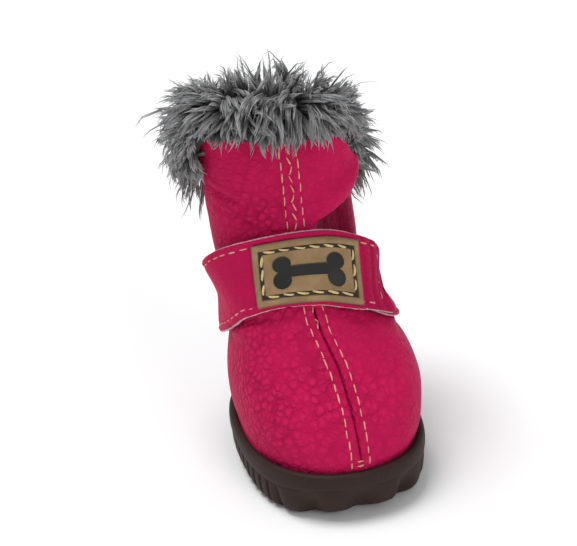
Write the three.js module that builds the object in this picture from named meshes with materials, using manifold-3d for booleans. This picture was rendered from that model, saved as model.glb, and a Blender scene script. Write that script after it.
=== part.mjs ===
// Dog winter boot, for either paw: a rubber cup sole, an insole, a hollow lined upper with a slit
// at the back, a plush gusset in that slit, a plush cuff, and an ankle strap with a patch.
// Millimetres, +Z up, toe towards -Y. The origin is the middle of the bounding box's bottom face.
import * as THREE from 'three';
import { mergeVertices } from 'three/addons/utils/BufferGeometryUtils.js';
import Module from 'manifold-3d';

const wasm = await Module();
wasm.setup();

// Driving dimensions
const bootLength = 61; // heel to toe of the upper, inside the sole's lip
const ballWidth = 44; // across the upper where the paw is widest
const collarHeight = 89; // floor to the top of the wall at the front
const collarDrop = 15; // how much lower the wall is at the back
const collarSkew = 2.5; // how far the collar's +X side lies below its middle, and its -X side above
const wall = 3; // leather with its plush lining
const gap = 0.3; // clearance between neighbouring pieces

const soleFloor = 5; // floor of the cup, above the ground
const lipHeight = 12; // top of the sole's lip at the sides
const lipRise = 1.5; // how much higher the lip is at the toe
const lipWalls = { toe: 2.2, side: 1.6 }; // thickness of the sole's wall at the lip
const archRise = 0.7; // the middle of the sole clears the floor by this much
const toeSpring = 3.2; // the sole's underside at the tip of the toe
const heelSpring = 1.2; // the sole's underside at the back of the heel
const lobeDepth = 1.1; // grooves between the four toe lobes
const ribDepth = 0.5; // grooves between the ribs on the sole's sides
const insoleThickness = 2.4;

const slitHalfWidth = { heel: 7.5, collar: 15 }; // half widths of the slit at the back
const slitFoot = 15; // lowest point of the slit
const slitWaist = 18; // height over the slit's foot where its sides start to spread
const gussetStandOff = 0.8; // the gusset bulges this far past the leather

const cuffTrim = { front: 0.75, frontBulge: 0.35, side: 0.55 }; // how much slimmer the cuff is there

const strapWidth = 17.5;
const strapThickness = 1.3;
const strapStandOffs = { start: 0.55, heel: 1.3, lap: strapThickness + gap + 0.1 };
const strapFlare = { right: 0.25, left: 1.25 }; // how far the band's middle stands out past its lower edge
const strapFront = 57.6; // height of the strap's middle over the instep
const strapDrop = 26; // how much lower it runs at the heel
const strapSkew = 2.4; // how far its +X side runs below the middle, and its -X side above it
const strapStart = 39; // degrees round from the toe, under the lap
const strapEnd = 70; // degrees round from the toe, where the tip lies
const lapClimb = { over: 31.5, under: 60 }; // degrees back from the tip: fully lapped, not yet lapped
const patchSize = { length: 26.2, height: 15.4, thickness: 1.2, taper: 0.04 };
const patchMiddle = 0; // degrees round from the toe

// The upper's plan sections. rise is a part of the collar height, front and back are parts of the
// boot's length from its middle, half is a part of the ball width, square rounds the outline, and
// lean moves the section sideways, in mm.
const sections = [
  { rise: 0.06, front: 0.478, back: 0.47, half: 0.47, square: 2.25, lean: 0 },
  { rise: 0.135, front: 0.5, back: 0.48, half: 0.49, square: 2.3, lean: 0 },
  { rise: 0.215, front: 0.505, back: 0.478, half: 0.514, square: 2.35, lean: 0.1 },
  { rise: 0.3, front: 0.465, back: 0.472, half: 0.514, square: 2.35, lean: 0.1 },
  { rise: 0.4, front: 0.355, back: 0.462, half: 0.458, square: 2.3, lean: -0.9 },
  { rise: 0.5, front: 0.22, back: 0.452, half: 0.374, square: 2.2, lean: -3.1 },
  { rise: 0.62, front: 0.11, back: 0.445, half: 0.412, square: 2.1, lean: -3.6 },
  { rise: 0.76, front: 0.07, back: 0.446, half: 0.418, square: 2.1, lean: -4.5 },
  { rise: 0.89, front: 0.05, back: 0.452, half: 0.43, square: 2.1, lean: -4.5 },
  { rise: 1.0, front: 0.042, back: 0.458, half: 0.465, square: 2.1, lean: -5.0 },
];

const turn = 2 * Math.PI;
const degrees = Math.PI / 180;
const mix = (a, b, t) => a + (b - a) * t;
const clamp = (value, low, high) => Math.min(high, Math.max(low, value));
const smooth = (low, high, value) => {
  const t = clamp((value - low) / (high - low), 0, 1);
  return t * t * (3 - 2 * t);
};

// One column of the table at any height, on a cubic through the rows that keeps to their slopes.
function column(name, rise) {
  const last = sections.length - 1;
  const slopeAt = (i) => {
    const low = sections[Math.max(i - 1, 0)];
    const high = sections[Math.min(i + 1, last)];
    return (high[name] - low[name]) / (high.rise - low.rise);
  };
  const place = clamp(rise, sections[0].rise, sections[last].rise);
  let i = 0;
  while (i < last - 1 && place > sections[i + 1].rise) i += 1;
  const step = sections[i + 1].rise - sections[i].rise;
  const t = (place - sections[i].rise) / step;
  const t2 = t * t;
  const t3 = t2 * t;
  return (2 * t3 - 3 * t2 + 1) * sections[i][name] + (3 * t2 - 2 * t3) * sections[i + 1][name]
    + (t3 - 2 * t2 + t) * step * slopeAt(i) + (t3 - t2) * step * slopeAt(i + 1);
}

// A point on the upper's outside: angle 0 is the toe, 90 degrees is the +X side, height in mm.
function lastPoint(angle, height) {
  const rise = height / collarHeight;
  const front = column('front', rise) * bootLength;
  const back = column('back', rise) * bootLength;
  const half = column('half', rise) * ballWidth;
  const power = 2 / column('square', rise);
  const side = Math.sin(angle);
  const ahead = Math.cos(angle);
  const middle = (back - front) * 0.5 * smooth(0.3, 0.6, rise);
  const reach = ahead > 0 ? front + middle : back - middle;
  return new THREE.Vector2(
    column('lean', rise) + half * Math.sign(side) * Math.abs(side) ** power,
    middle - reach * Math.sign(ahead) * Math.abs(ahead) ** power,
  );
}

// The same point moved straight out of the leather by a distance measured square to its surface.
function offsetPoint(angle, height, distance) {
  const nudge = 0.01;
  const here = lastPoint(angle, height);
  const along = lastPoint(angle + nudge, height).sub(lastPoint(angle - nudge, height)).normalize();
  const out = new THREE.Vector2(-along.y, along.x).multiplyScalar(-1);
  const climb = lastPoint(angle, height + 0.5).sub(lastPoint(angle, height - 0.5)).dot(out);
  const stretch = Math.min(Math.hypot(1, climb), 1.7);
  here.addScaledVector(out, distance * stretch);
  return new THREE.Vector3(here.x, here.y, height);
}

const wallTop = (angle) => (
  collarHeight - collarDrop * smooth(-1, 1, -Math.cos(angle)) - collarSkew * Math.sin(angle)
);

function ring(count, pointAt) {
  return Array.from({ length: count }, (_, i) => pointAt((i / count) * turn));
}

// A closed body from rings of points. A tube's last ring joins its first; otherwise the ends are
// closed by fans to their middles.
function ringBody(rings, { tube = false } = {}) {
  const count = rings[0].length;
  const points = rings.flat();
  const faces = [];
  const rows = tube ? rings.length : rings.length - 1;
  for (let row = 0; row < rows; row += 1) {
    const low = row * count;
    const high = ((row + 1) % rings.length) * count;
    for (let i = 0; i < count; i += 1) {
      const next = (i + 1) % count;
      faces.push(low + i, low + next, high + next, low + i, high + next, high + i);
    }
  }
  if (!tube) {
    const middle = (ringPoints) => ringPoints
      .reduce((sum, point) => sum.add(point), new THREE.Vector3()).divideScalar(count);
    const last = (rings.length - 1) * count;
    points.push(middle(rings[0]), middle(rings[rings.length - 1]));
    for (let i = 0; i < count; i += 1) {
      const next = (i + 1) % count;
      faces.push(points.length - 2, next, i, points.length - 1, last + i, last + next);
    }
  }
  const body = new THREE.BufferGeometry();
  body.setAttribute('position', new THREE.Float32BufferAttribute(
    points.flatMap((point) => [point.x, point.y, point.z]), 3));
  body.setIndex(faces);
  return body;
}

function toSolid(geometry) {
  const bare = geometry.clone();
  bare.deleteAttribute('normal');
  bare.deleteAttribute('uv');
  const merged = mergeVertices(bare, 1e-4);
  return new wasm.Manifold(new wasm.Mesh({
    numProp: 3,
    vertProperties: new Float32Array(merged.attributes.position.array),
    triVerts: new Uint32Array(merged.index.array),
  }));
}

function toGeometry(solid) {
  const mesh = solid.getMesh();
  const geometry = new THREE.BufferGeometry();
  geometry.setAttribute('position', new THREE.BufferAttribute(mesh.vertProperties, 3));
  geometry.setIndex(new THREE.BufferAttribute(mesh.triVerts, 1));
  return geometry;
}

// Outsole: a cup. Its rings run from the middle of the underside out, up the ribbed side to the
// lip, over it, and down the inside to the floor of the cup.
const soleSteps = 104;
const lipTop = (angle) => lipHeight + lipRise * smooth(0.2, 1, Math.cos(angle));

function soleUnderside(y) {
  const toe = smooth(-0.3 * bootLength, -0.58 * bootLength, y) ** 1.3 * toeSpring;
  const heel = smooth(0.42 * bootLength, 0.56 * bootLength, y) * heelSpring;
  const arch = smooth(-0.16 * bootLength, -0.06 * bootLength, y)
    * (1 - smooth(0.1 * bootLength, 0.2 * bootLength, y)) * archRise;
  return toe + heel + arch;
}

// Grooves: three between the four toe lobes, and a row of ribs down each side to the heel.
function soleGroove(angle) {
  const turned = Math.abs(angle > Math.PI ? angle - turn : angle) / degrees;
  if (turned < 48) {
    return lobeDepth * Math.abs(Math.cos((turned / 28) * Math.PI)) ** 5;
  }
  return ribDepth * (0.5 + 0.5 * Math.cos((turned - 48) / 9 * 2 * Math.PI)) * smooth(48, 54, turned);
}

function solePoint(angle, level, inset, grooveShare) {
  const lipWall = mix(lipWalls.side, lipWalls.toe, smooth(0.2, 0.9, Math.cos(angle)));
  const rim = offsetPoint(angle, lipHeight, lipWall - inset - soleGroove(angle) * grooveShare);
  const low = soleUnderside(rim.y);
  rim.z = mix(low, lipTop(angle), level);
  return rim;
}

function soleBottomRing(share) {
  return ring(soleSteps, (angle) => {
    const edge = solePoint(angle, 0, 3.4, 0.6);
    edge.multiplyScalar(share);
    edge.z = soleUnderside(edge.y);
    return edge;
  });
}

const soleRows = [
  { level: 0.05, inset: 1.9, groove: 0.9 },
  { level: 0.2, inset: 0.7, groove: 1 },
  { level: 0.55, inset: 0.2, groove: 1 },
  { level: 0.6, inset: 0.1, groove: 0 },
  { level: 0.93, inset: 0, groove: 0 },
];

function cupRing(height, clearance) {
  return ring(soleSteps, (angle) => {
    const point = offsetPoint(angle, lipHeight, clearance);
    point.z = height === null ? lipTop(angle) : height;
    return point;
  });
}

function cupFloorRing(share) {
  return cupRing(soleFloor, gap).map((point) => new THREE.Vector3(point.x * share, point.y * share, soleFloor));
}

const outsoleShape = ringBody([
  ...[0.2, 0.38, 0.56, 0.76, 0.9, 1].map(soleBottomRing),
  ...soleRows.map((row) => ring(soleSteps, (angle) => solePoint(angle, row.level, row.inset, row.groove))),
  ring(soleSteps, (angle) => solePoint(angle, 1, 0.7, 0)),
  cupRing(null, gap),
  cupRing(soleFloor, gap),
  cupFloorRing(0.5),
]);

// Upper: one wall. It stands in the cup on the outline that the cup has at its lip.
const upperSteps = 60;

function wallPoint(angle, share, distance) {
  const foot = soleFloor + gap;
  const height = mix(foot, wallTop(angle), share);
  const point = offsetPoint(angle, Math.max(height, lipHeight), distance);
  point.z = height;
  return point;
}

const outerShares = [0, 0.08, 0.14, 0.2, 0.27, 0.34, 0.42, 0.5, 0.58, 0.68, 0.8, 0.9, 1];
const innerShares = [1, 0.86, 0.7, 0.58, 0.48, 0.39, 0.3, 0.22, 0.14, 0];
const fullWall = ringBody([
  ...outerShares.map((share) => ring(upperSteps, (angle) => wallPoint(angle, share, 0))),
  ...innerShares.map((share) => ring(upperSteps, (angle) => wallPoint(angle, share, -wall))),
], { tube: true });

// The slit: a wedge with a round foot that is cut through the back of the wall.
function slitCutter(inset) {
  const outline = new THREE.Shape();
  const foot = slitFoot + slitHalfWidth.heel + inset;
  const heelHalf = slitHalfWidth.heel - inset;
  const collarHalf = slitHalfWidth.collar - inset;
  const top = collarHeight + 20;
  outline.moveTo(collarHalf, top);
  outline.lineTo(-collarHalf, top);
  outline.quadraticCurveTo(-collarHalf * 0.75, foot + slitWaist, -heelHalf, foot);
  outline.absarc(0, foot, heelHalf, Math.PI, turn, false);
  outline.quadraticCurveTo(collarHalf * 0.75, foot + slitWaist, collarHalf, top);
  const wedge = new THREE.ExtrudeGeometry(outline, {
    depth: bootLength / 2, bevelEnabled: false, curveSegments: 8,
  });
  wedge.rotateX(Math.PI / 2);
  wedge.translate(0, bootLength * 0.7, 0);
  return toSolid(wedge);
}

const upperShape = toGeometry(toSolid(fullWall).subtract(slitCutter(0)));

// Back gusset: plush, cut from the same wall, a little thicker than it, to the slit's outline.
const gussetSteps = 48;
const gussetBand = ringBody([
  ...[0, 0.2, 0.4, 0.6, 0.8, 0.985].map((share) => ring(gussetSteps, (angle) => (
    wallPoint(angle, share, gussetStandOff)))),
  ...[0.985, 0.75, 0.5, 0.25, 0].map((share) => ring(gussetSteps, (angle) => (
    wallPoint(angle, share, -wall - gussetStandOff)))),
], { tube: true });
const gussetShape = toGeometry(toSolid(gussetBand).intersect(slitCutter(gap)));

// Insole: a thin bed inside the wall, on the floor of the cup.
const insoleRing = (height, clearance) => ring(40, (angle) => {
  const point = offsetPoint(angle, lipHeight, -wall - gap - clearance);
  point.z = height;
  return point;
});
const insoleShape = ringBody([
  insoleRing(soleFloor + gap, 0.3),
  insoleRing(soleFloor + gap + insoleThickness * 0.6, 0),
  insoleRing(soleFloor + gap + insoleThickness, 0.8),
]);

// Collar: a deep plush cuff. out is measured from the leather, rise from the top of the wall.
const cuffSteps = 60;
const cuffProfile = [
  { out: -wall - 0.6, rise: 0.5 },
  { out: -wall - 1.6, rise: 6 },
  { out: -1.8, rise: 12.4 },
  { out: 2.4, rise: 13.6 },
  { out: 6, rise: 9.6 },
  { out: 8, rise: 3 },
  { out: 7.4, rise: -4 },
  { out: 3.8, rise: -8.5 },
  { out: 1.3, rise: -7.5 },
  { out: 1.3, rise: 0.5 },
];

// It hangs less in front, and bulges less in front and on the +X side.
function cuffPoint(angle, row) {
  const front = smooth(0.1, 0.9, Math.cos(angle));
  const side = smooth(0.1, 0.95, Math.sin(angle));
  const slim = Math.max(cuffTrim.frontBulge * front, cuffTrim.side * side);
  const out = row.out > 2 ? mix(row.out, 2, slim) : row.out;
  const point = offsetPoint(angle, wallTop(angle), out);
  point.z = wallTop(angle) + (row.rise < 0 ? row.rise * (1 - cuffTrim.front * front) : row.rise);
  return point;
}

const cuffShape = ringBody(
  cuffProfile.map((row) => ring(cuffSteps, (angle) => cuffPoint(angle, row))).reverse(),
  { tube: true },
);

// Strap: one band from its sewn start, round the back, across the front and over its own start.
// It runs from high on the instep down to just above the heel.
const strapSteps = 76;
const lapStart = strapStart * degrees;
const lapEnd = strapEnd * degrees + turn;

function strapLevel(angle) {
  const backward = 0.5 - 0.5 * Math.cos(angle);
  return strapFront - strapDrop * backward - strapSkew * Math.sin(angle);
}

// The band is flat: its lower edge lies on the leather and its upper edge stands off, most on the
// -X side, and not at all at the heel.
function strapFlareAt(angle) {
  const leftward = smooth(0.3, -0.9, Math.sin(angle));
  return mix(strapFlare.right, strapFlare.left, leftward) * smooth(-1, -0.2, Math.cos(angle));
}

// Across a band on the leather: at an angle, so far towards the collar, so far out of the leather.
function bandPoint(angle, across, distance) {
  const nudge = 0.02;
  const level = strapLevel(angle);
  const at = (a, height) => offsetPoint(a, height, distance);
  const round = at(angle + nudge, level).sub(at(angle - nudge, level)).divideScalar(2 * nudge);
  const climb = at(angle, level + 1).sub(at(angle, level - 1)).divideScalar(2);
  const fall = (strapLevel(angle + nudge) - strapLevel(angle - nudge)) / (2 * nudge);
  const run = round.clone().addScaledVector(climb, fall);
  const shear = -climb.dot(run) / round.dot(run);
  const step = across / climb.clone().addScaledVector(round, shear).length();
  const flare = strapFlareAt(angle) * (1 + (2 * across) / strapWidth);
  return offsetPoint(angle + shear * step, level + step, distance + flare);
}

// The lap: the band climbs from resting on the leather to resting on its own start. It stands off
// more over the plush at the back.
function strapStandOff(angle) {
  const fromTip = (lapEnd - angle) / degrees;
  const { start, heel, lap } = strapStandOffs;
  return start + heel * smooth(0, 1, -Math.cos(angle)) + lap * (1 - smooth(lapClimb.over, lapClimb.under, fromTip));
}

function bandSection(angle, width, under, over) {
  const edges = [-0.5, 0, 0.5].map((share) => share * width);
  return [
    ...edges.map((across) => bandPoint(angle, across, under)),
    ...edges.reverse().map((across) => bandPoint(angle, across, over)),
  ];
}

const strapShape = ringBody(Array.from({ length: strapSteps + 1 }, (_, i) => {
  const angle = mix(lapStart, lapEnd, i / strapSteps);
  const under = strapStandOff(angle);
  return bandSection(angle, strapWidth, under, under + strapThickness);
}));

// Patch: a flat plate bent round the strap's outside, near its tip, a little longer at its upper
// edge than at its lower one.
const patchSteps = 20;
const patchClearance = 1.5 * gap;

// The angle that lies so many mm along the band from the patch's middle, at one level across it.
function angleAlong(run, across) {
  const step = Math.sign(run) * 0.5 * degrees;
  const at = (angle) => bandPoint(angle, across, strapStandOff(angle) + strapThickness);
  let angle = patchMiddle * degrees + turn;
  let left = Math.abs(run);
  while (left > 0) {
    const walked = at(angle).distanceTo(at(angle + step));
    if (walked >= left) return angle + step * (left / walked);
    left -= walked;
    angle += step;
  }
  return angle;
}

const patchShape = ringBody(Array.from({ length: patchSteps + 1 }, (_, i) => {
  const run = mix(-0.5, 0.5, i / patchSteps) * patchSize.length;
  const edges = [-0.5, 0, 0.5].map((share) => share * patchSize.height);
  const side = (across, lift) => {
    const angle = angleAlong(run * (1 + (patchSize.taper * across) / patchSize.height), across);
    return bandPoint(angle, across, strapStandOff(angle) + strapThickness + patchClearance + lift);
  };
  return [
    ...edges.map((across) => side(across, 0)),
    ...edges.reverse().map((across) => side(across, patchSize.thickness)),
  ];
}));

const leather = { color: 0xbe1e50, roughness: 0.5, metalness: 0 };
const plush = { color: 0x7d7a78, roughness: 1, metalness: 0 };
const pieces = [
  { name: 'outsole', shape: outsoleShape, finish: { color: 0x4a3c36, roughness: 0.65, metalness: 0 } },
  { name: 'insole', shape: insoleShape, finish: { color: 0x6a6664, roughness: 1, metalness: 0 } },
  { name: 'upper', shape: upperShape, finish: leather },
  { name: 'back_gusset', shape: gussetShape, finish: plush },
  { name: 'collar_fur', shape: cuffShape, finish: plush },
  { name: 'ankle_strap', shape: strapShape, finish: leather },
  { name: 'strap_patch', shape: patchShape, finish: { color: 0x917350, roughness: 0.6, metalness: 0 } },
];

const boot = new THREE.Group();
for (const piece of pieces) {
  const mesh = new THREE.Mesh(piece.shape, new THREE.MeshStandardMaterial(piece.finish));
  mesh.name = piece.name;
  boot.add(mesh);
}
boot.updateMatrixWorld(true);
const box = new THREE.Box3().setFromObject(boot);
boot.position.set(-(box.min.x + box.max.x) / 2, -(box.min.y + box.max.y) / 2, -box.min.z);

export default boot;
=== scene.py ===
import math

import bpy
import numpy as np
from mathutils import Matrix, Vector, kdtree


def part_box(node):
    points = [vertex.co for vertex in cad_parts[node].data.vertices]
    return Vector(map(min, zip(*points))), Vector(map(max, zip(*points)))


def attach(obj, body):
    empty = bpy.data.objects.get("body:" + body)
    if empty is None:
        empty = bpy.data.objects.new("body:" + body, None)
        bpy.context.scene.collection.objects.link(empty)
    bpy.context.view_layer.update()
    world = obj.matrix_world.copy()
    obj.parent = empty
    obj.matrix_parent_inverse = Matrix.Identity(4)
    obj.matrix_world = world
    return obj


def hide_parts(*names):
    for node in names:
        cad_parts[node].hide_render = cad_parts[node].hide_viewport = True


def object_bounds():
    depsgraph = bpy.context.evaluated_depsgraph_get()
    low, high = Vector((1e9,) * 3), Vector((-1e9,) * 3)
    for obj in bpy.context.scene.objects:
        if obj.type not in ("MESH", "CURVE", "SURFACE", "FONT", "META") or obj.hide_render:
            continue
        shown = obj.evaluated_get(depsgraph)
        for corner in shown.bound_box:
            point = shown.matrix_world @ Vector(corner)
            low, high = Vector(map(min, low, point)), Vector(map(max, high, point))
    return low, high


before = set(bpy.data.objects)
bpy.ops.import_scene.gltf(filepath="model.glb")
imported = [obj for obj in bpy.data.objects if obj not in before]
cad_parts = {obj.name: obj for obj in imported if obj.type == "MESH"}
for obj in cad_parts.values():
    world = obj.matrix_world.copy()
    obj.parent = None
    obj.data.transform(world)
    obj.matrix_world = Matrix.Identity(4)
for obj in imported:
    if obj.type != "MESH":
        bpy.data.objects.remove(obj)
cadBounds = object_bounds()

mm = 0.001
turn = 2 * math.pi
dice = np.random.default_rng(20)


boot = {
    "length": 61.0,
    "ballWidth": 44.0,
    "collarHeight": 89.0,
    "collarDrop": 15.0,  # the wall is this much lower at the back
    "collarSkew": 2.5,
    "wall": 3.0,
    "leather": 1.2,
    "soleFloor": 5.0,
    "lipHeight": 12.0,
    "lipRise": 1.5,
    "lipWall": {"toe": 2.2, "side": 1.6},
}

# plan sections: heights and sizes as parts of the collar height, length and ball width
sectionNames = ("rise", "front", "back", "half", "square", "lean")
sections = np.array([
    (0.060, 0.478, 0.470, 0.470, 2.25, 0.0),
    (0.135, 0.500, 0.480, 0.490, 2.30, 0.0),
    (0.215, 0.505, 0.478, 0.514, 2.35, 0.1),
    (0.300, 0.465, 0.472, 0.514, 2.35, 0.1),
    (0.400, 0.355, 0.462, 0.458, 2.30, -0.9),
    (0.500, 0.220, 0.452, 0.374, 2.20, -3.1),
    (0.620, 0.110, 0.445, 0.412, 2.10, -3.6),
    (0.760, 0.070, 0.446, 0.418, 2.10, -4.5),
    (0.890, 0.050, 0.452, 0.430, 2.10, -4.5),
    (1.000, 0.042, 0.458, 0.465, 2.10, -5.0),
])


def smooth(low, high, value):
    t = np.clip((np.asarray(value, float) - low) / (high - low), 0, 1)
    return t * t * (3 - 2 * t)


def bell(value, width):
    return np.exp(-(np.asarray(value, float) / width) ** 2)


def column(name, rise):
    k = sectionNames.index(name)
    rises, values = sections[:, 0], sections[:, k]
    last = len(rises) - 1
    low = np.maximum(np.arange(last + 1) - 1, 0)
    high = np.minimum(np.arange(last + 1) + 1, last)
    slopes = (values[high] - values[low]) / (rises[high] - rises[low])
    place = np.clip(rise, rises[0], rises[last])
    i = np.clip(np.searchsorted(rises, place) - 1, 0, last - 1)
    step = rises[i + 1] - rises[i]
    t = (place - rises[i]) / step
    return ((2 * t**3 - 3 * t**2 + 1) * values[i] + (3 * t**2 - 2 * t**3) * values[i + 1]
            + (t**3 - 2 * t**2 + t) * step * slopes[i] + (t**3 - t**2) * step * slopes[i + 1])


def lastPoint(angle, height):
    rise = height / boot["collarHeight"]
    front = column("front", rise) * boot["length"]
    back = column("back", rise) * boot["length"]
    half = column("half", rise) * boot["ballWidth"]
    power = 2 / column("square", rise)
    side, ahead = np.sin(angle), np.cos(angle)
    middle = (back - front) * 0.5 * smooth(0.3, 0.6, rise)
    reach = np.where(ahead > 0, front + middle, back - middle)
    x = column("lean", rise) + half * np.sign(side) * np.abs(side) ** power
    y = middle - reach * np.sign(ahead) * np.abs(ahead) ** power
    return np.stack([x, y], -1)


# a point on the upper, moved straight out of the leather
def skin(angle, height, out=0.0, level=None):
    angle, height, out = np.broadcast_arrays(angle, height, out)
    angle, height = angle.astype(float), height.astype(float)
    nudge = 0.01
    here = lastPoint(angle, height)
    along = lastPoint(angle + nudge, height) - lastPoint(angle - nudge, height)
    along /= np.linalg.norm(along, axis=-1, keepdims=True)
    outward = np.stack([along[..., 1], -along[..., 0]], -1)
    climb = ((lastPoint(angle, height + 0.5) - lastPoint(angle, height - 0.5)) * outward).sum(-1)
    stretch = np.minimum(np.hypot(1, climb), 1.7)
    flat = here + outward * (out * stretch)[..., None]
    z = height if level is None else np.broadcast_to(level, height.shape)
    return np.stack([flat[..., 0], flat[..., 1], z], -1)


def skinNormal(angle, height):
    a, h = np.broadcast_arrays(np.asarray(angle, float), np.asarray(height, float))
    along = skin(a + 0.01, h) - skin(a - 0.01, h)
    up = skin(a, h + 0.4) - skin(a, h - 0.4)
    n = np.cross(along, up)
    return n / np.linalg.norm(n, axis=-1, keepdims=True)


def wallTop(angle):
    return (boot["collarHeight"] - boot["collarDrop"] * smooth(-1, 1, -np.cos(angle))
            - boot["collarSkew"] * np.sin(angle))


def lipWall(angle):
    wall = boot["lipWall"]
    return wall["side"] + (wall["toe"] - wall["side"]) * smooth(0.2, 0.9, np.cos(angle))


# where that form stands in the frame, found from the outsole
soleLow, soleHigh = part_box("outsole")
soleFront = skin(0.0, boot["lipHeight"], boot["lipWall"]["toe"])[1]
shift = np.array([(soleLow.x + soleHigh.x) / 2, soleLow.y - soleFront * mm, soleLow.z])


def makePiece(name, points, faces, material, replaced=(), attributes=None):
    mesh = bpy.data.meshes.new(name)
    points = np.asarray(points, float).reshape(-1, 3) * mm + shift
    faces = [np.asarray(f, np.int64) for f in faces]
    centred = points - points.mean(0)
    volume = sum(
        (centred[f[:, 0]] * np.cross(centred[f[:, k]], centred[f[:, k + 1]])).sum()
        for f in faces for k in range(1, f.shape[1] - 1))
    if volume < 0:  # closed bodies face outwards
        faces = [f[:, ::-1] for f in faces]
    sizes = np.concatenate([np.full(len(f), f.shape[1]) for f in faces])
    corners = np.concatenate([f.ravel() for f in faces])
    mesh.vertices.add(len(points))
    mesh.vertices.foreach_set("co", points.ravel())
    mesh.loops.add(len(corners))
    mesh.loops.foreach_set("vertex_index", corners)
    mesh.polygons.add(len(sizes))
    mesh.polygons.foreach_set("loop_start", np.concatenate([[0], np.cumsum(sizes)[:-1]]))
    mesh.polygons.foreach_set("use_smooth", np.ones(len(sizes), bool))
    mesh.update(calc_edges=True)
    mesh.validate()
    for key, values in (attributes or {}).items():
        layer = mesh.attributes.new(key, "FLOAT", "POINT")
        layer.data.foreach_set("value", np.asarray(values, np.float32).ravel())
    piece = bpy.data.objects.new(name, mesh)
    bpy.context.scene.collection.objects.link(piece)
    mesh.materials.append(material)
    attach(piece, "root")
    if replaced:
        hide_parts(*replaced)
    return piece


# quads between the rows and columns of a grid of points
def gridFaces(rows, columns, loopRows=False, loopColumns=False):
    i = np.arange(rows if loopRows else rows - 1)[:, None]
    j = np.arange(columns if loopColumns else columns - 1)[None, :]
    i2, j2 = (i + 1) % rows, (j + 1) % columns
    quads = np.stack(np.broadcast_arrays(
        i * columns + j, i * columns + j2, i2 * columns + j2, i2 * columns + j), -1)
    return quads.reshape(-1, 4)


# a closed sheet with thickness from matching outer and inner grids of points
def sheetFaces(rows, columns):
    count = rows * columns
    outer = gridFaces(rows, columns)
    inner = outer[:, ::-1] + count
    low = np.arange(columns - 1)
    high = (rows - 1) * columns + low
    left = np.arange(rows - 1) * columns
    right = left + columns - 1
    rims = [np.stack(rim, -1) for rim in (
        (low + 1, low, low + count, low + 1 + count),
        (high, high + 1, high + 1 + count, high + count),
        (left, left + columns, left + columns + count, left + count),
        (right + columns, right, right + count, right + columns + count))]
    return [np.concatenate([outer, inner] + rims)]


# rings stacked into a closed body, with fans over both ends
def stackFaces(rings, columns):
    count = rings * columns
    quads = gridFaces(rings, columns, loopColumns=True)
    j = np.arange(columns)
    j2 = (j + 1) % columns
    last = (rings - 1) * columns
    fans = np.concatenate([
        np.stack([j2, j, np.full(columns, count)], -1),
        np.stack([last + j, last + j2, np.full(columns, count + 1)], -1)])
    return [quads, fans]


def stackPoints(rings):
    rings = np.asarray(rings)
    return np.concatenate([rings.reshape(-1, 3), rings[:1].mean(1), rings[-1:].mean(1)])


# many little tubes in one mesh: centres [n, k, 3], radii [n, k], sideways frames from the path
def tubePoints(centres, radii, up, sides):
    along = np.gradient(centres, axis=1)
    along /= np.linalg.norm(along, axis=-1, keepdims=True) + 1e-9
    across = np.cross(along, up)
    across /= np.linalg.norm(across, axis=-1, keepdims=True) + 1e-9
    over = np.cross(across, along)
    turnAt = np.arange(sides) / sides * turn
    circle = (across[:, :, None] * np.cos(turnAt)[:, None] + over[:, :, None] * np.sin(turnAt)[:, None])
    return centres[:, :, None] + circle * radii[:, :, None, None]


def tubeFaces(count, rings, sides):
    one = gridFaces(rings, sides, loopColumns=True)
    size = rings * sides
    quads = (one[None] + (np.arange(count) * size)[:, None, None]).reshape(-1, 4)
    ends = np.stack([np.arange(sides)[::-1], (rings - 1) * sides + np.arange(sides)])
    caps = (ends[None] + (np.arange(count) * size)[:, None, None]).reshape(-1, sides)
    return [quads[:, ::-1], caps[:, ::-1]]


# tapering strands in one mesh, each closed by a point at its tip
def strandFaces(count, rings, sides):
    size = rings * sides + 1
    one = gridFaces(rings, sides, loopColumns=True)[:, ::-1]
    j = np.arange(sides)
    last = (rings - 1) * sides
    tips = np.stack([last + (j + 1) % sides, last + j, np.full(sides, size - 1)], -1)
    start = (np.arange(count) * size)[:, None, None]
    roots = j[None]
    return [(part[None] + start).reshape(-1, part.shape[1]) for part in (one, tips, roots)]


def strandPoints(line, radius, up, sides):
    rings = tubePoints(line, radius, up, sides)[:, :-1]
    return np.concatenate([rings.reshape(len(line), -1, 3), line[:, -1:]], 1)


class Wire:  # a shader socket that can be used in sums
    def __init__(self, graph, socket):
        self.graph = graph
        self.socket = socket

    def __add__(self, other):
        return self.graph.maths("ADD", self, other)

    def __radd__(self, other):
        return self.graph.maths("ADD", other, self)

    def __sub__(self, other):
        return self.graph.maths("SUBTRACT", self, other)

    def __rsub__(self, other):
        return self.graph.maths("SUBTRACT", other, self)

    def __mul__(self, other):
        return self.graph.maths("MULTIPLY", self, other)

    def __rmul__(self, other):
        return self.graph.maths("MULTIPLY", other, self)


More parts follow.
